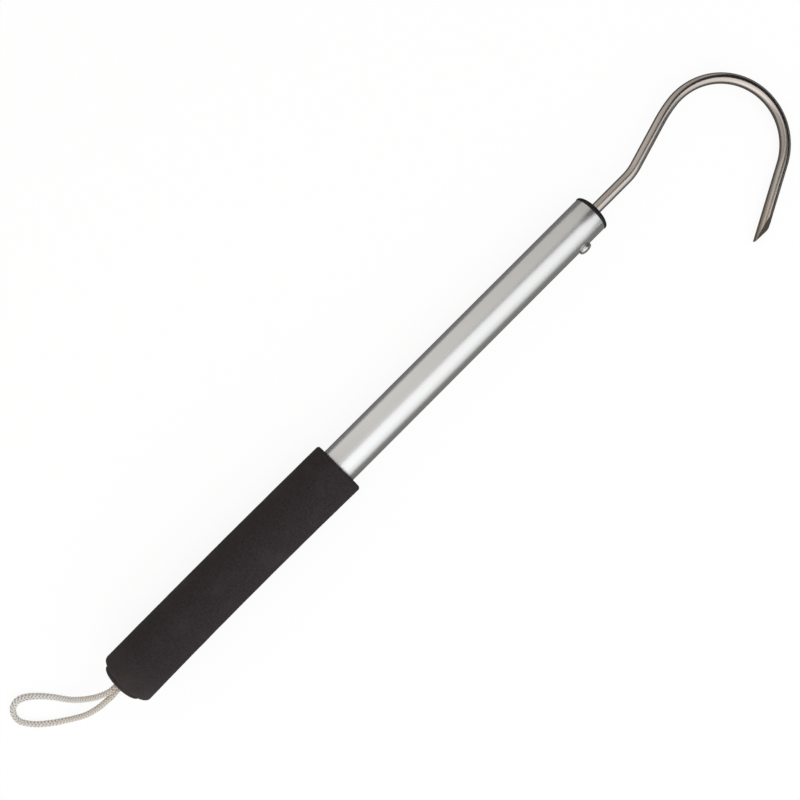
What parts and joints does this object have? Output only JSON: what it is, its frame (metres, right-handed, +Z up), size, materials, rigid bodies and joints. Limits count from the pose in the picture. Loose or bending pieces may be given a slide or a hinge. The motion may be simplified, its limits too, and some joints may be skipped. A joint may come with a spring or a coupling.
{
  "type": "fishing gaff",
  "caption": "Short one-handed fishing gaff: a barbless bent steel hook in an aluminium tube with a foam grip, a domed end cap and a braided wrist cord.",
  "frame": {"origin": "on the floor, under the middle of the gaff without its wrist cord", "axes": "+X from the grip towards the hook, +Z up from the floor, as the gaff lies on its side"},
  "size_m": [0.691, 0.142, 0.0459],
  "materials": {
    "hook_steel": "drawn bright wire with fine lengthwise polish lines",
    "screw_steel": "plated pan head",
    "tube_aluminium": "bare drawn tube, satin, with a few light marks",
    "grip_foam": "closed-cell foam with a fine grain",
    "black_plastic": "moulded, half-matt",
    "white_braid": "round braided cord, off-white"
  },
  "bodies": {
    "root": {"hook": "hook_steel", "hook_plug": "black_plastic", "hook_screw": "screw_steel", "shaft_tube": "tube_aluminium", "foam_grip": "grip_foam", "end_cap": "black_plastic", "lanyard": "white_braid", "lanyard_knot": "white_braid"}
  },
  "joints": []
}
